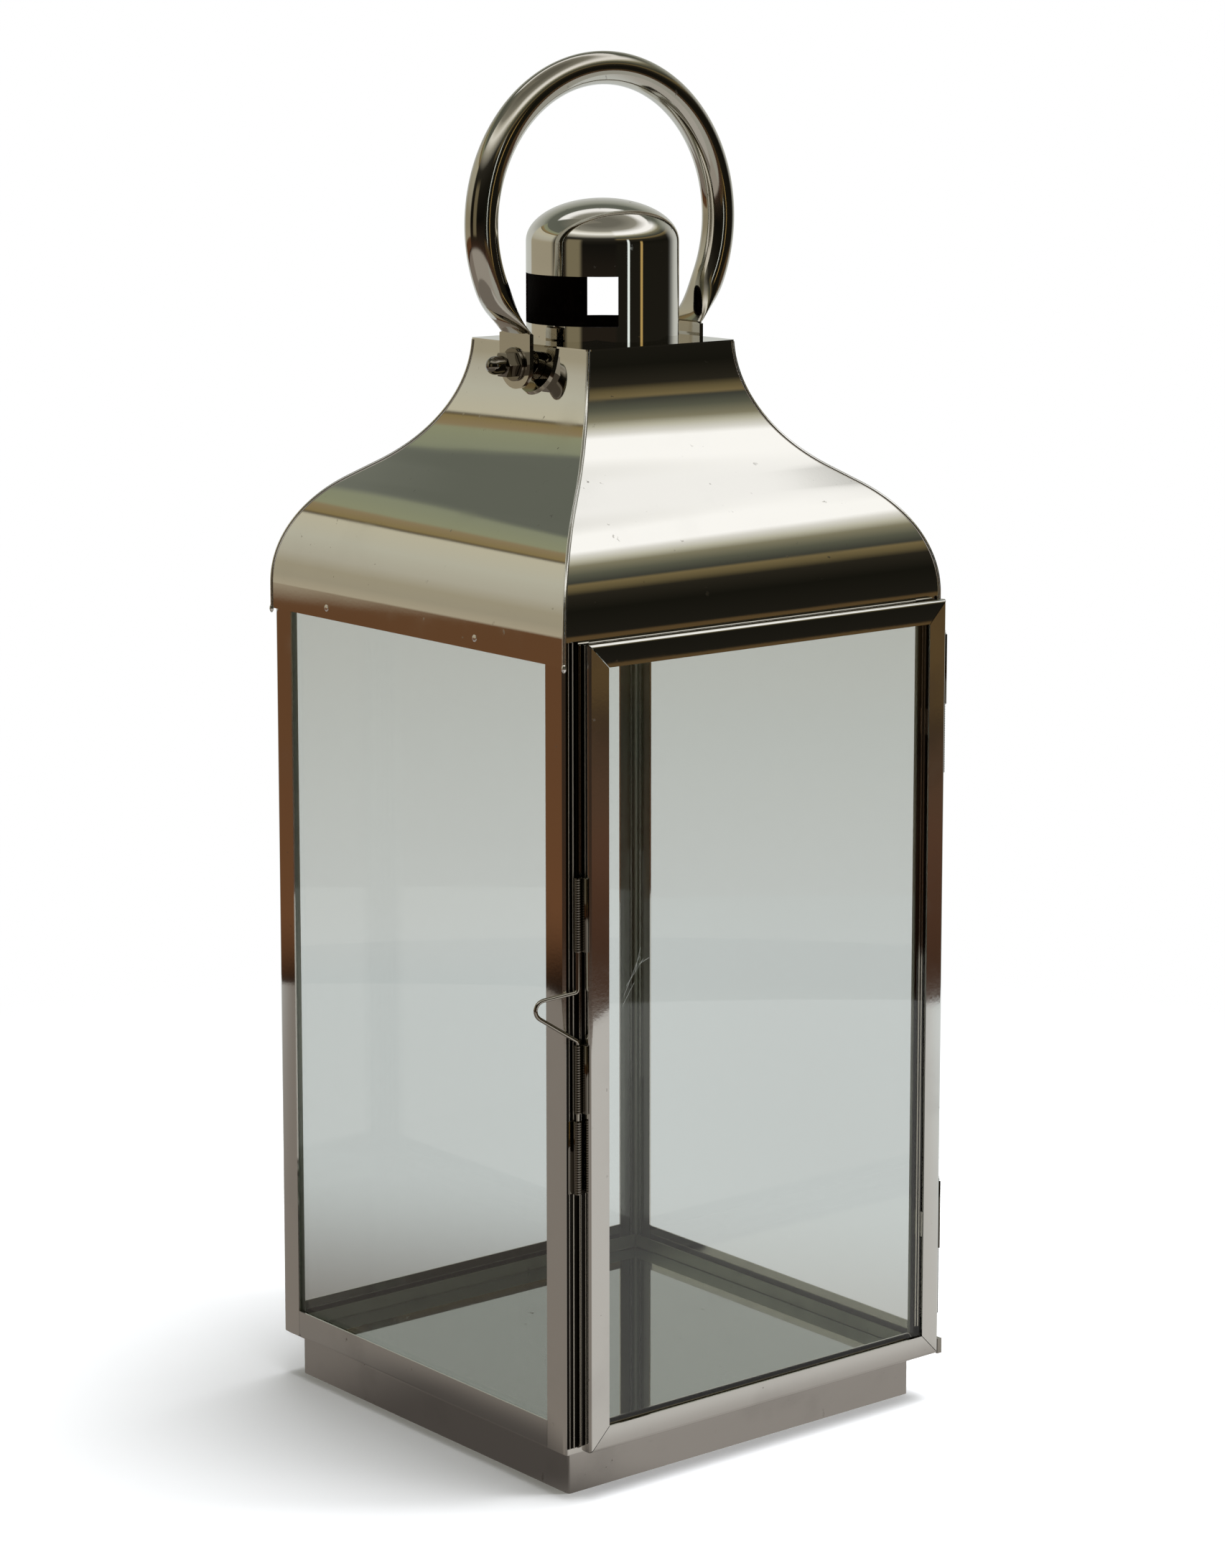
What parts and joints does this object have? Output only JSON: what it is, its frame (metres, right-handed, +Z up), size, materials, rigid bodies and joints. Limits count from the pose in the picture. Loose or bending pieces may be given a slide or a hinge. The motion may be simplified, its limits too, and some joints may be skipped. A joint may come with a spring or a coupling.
{
  "type": "candle lantern",
  "caption": "Square candle lantern of polished sheet steel and glass, with a hinged and latched door, a curved hipped roof, a domed vent cap and a ring handle.",
  "frame": {"origin": "centre of the underside of the plinth, on the surface that the lantern stands on", "axes": "+Z up; -Y out of the door; +X towards the door's hinges, and -X towards its latch; the handle's pivot bolts lie along X"},
  "size_m": [0.1771, 0.1712, 0.4744],
  "materials": {
    "polished_steel": "polished, almost a mirror, with fine rubbing marks",
    "worn_steel": "polished but duller, with smudges and small stains near the folds",
    "dark_steel": "polished, seen dark because it mirrors dark surroundings",
    "glass": "clear float glass with slightly green edges"
  },
  "bodies": {
    "frame": {"plinth": "worn_steel", "plinth_deck": "worn_steel", "floor_plate": "polished_steel", "bottom_rail_front": "worn_steel", "bottom_rail_right": "worn_steel", "bottom_rail_back": "worn_steel", "bottom_rail_left": "worn_steel", "post_front_right": "polished_steel", "post_back_right": "polished_steel", "post_back_left": "polished_steel", "post_front_left": "polished_steel", "top_rail_front": "polished_steel", "top_rail_right": "polished_steel", "top_rail_back": "polished_steel", "top_rail_left": "polished_steel", "pane_right": "glass", "pane_back": "glass", "pane_left": "glass", "roof_panel_front": "polished_steel", "roof_panel_right": "polished_steel", "roof_panel_back": "polished_steel", "roof_panel_left": "polished_steel", "top_plate": "polished_steel", "chimney_cap": "dark_steel", "upper_hinge_frame_leaf": "polished_steel", "lower_hinge_frame_leaf": "polished_steel", "hinge_pins": "dark_steel", "latch_keeper": "polished_steel", "handle_bolts": "dark_steel", "handle_spacers": "dark_steel", "handle_washers": "polished_steel", "acorn_nuts": "dark_steel"},
    "door": {"door_rail_bottom": "worn_steel", "door_stile_right": "polished_steel", "door_rail_top": "polished_steel", "door_stile_left": "polished_steel", "door_glass": "glass", "door_glass_clips": "polished_steel", "door_corner_tab": "dark_steel", "upper_hinge_door_leaf": "polished_steel", "lower_hinge_door_leaf": "polished_steel", "latch_guide_upper": "polished_steel", "latch_guide_lower": "polished_steel"},
    "latch": {"latch_wire": "polished_steel"},
    "handle": {"ring_handle": "polished_steel"}
  },
  "joints": [
    {"name": "door_hinge", "type": "hinge", "parent": "frame", "child": "door", "pos_m": [0.0831, -0.0842, 0], "axis": [0, 0, 1], "range_deg": [0, 180]},
    {"name": "latch_slide", "type": "slide", "parent": "door", "child": "latch", "axis": [0, 0, 1], "range_m": [0, 0.01]},
    {"name": "handle_hinge", "type": "hinge", "parent": "frame", "child": "handle", "pos_m": [0, 0, 0.3692], "axis": [1, 0, 0], "range_deg": [-110, 110]}
  ]
}
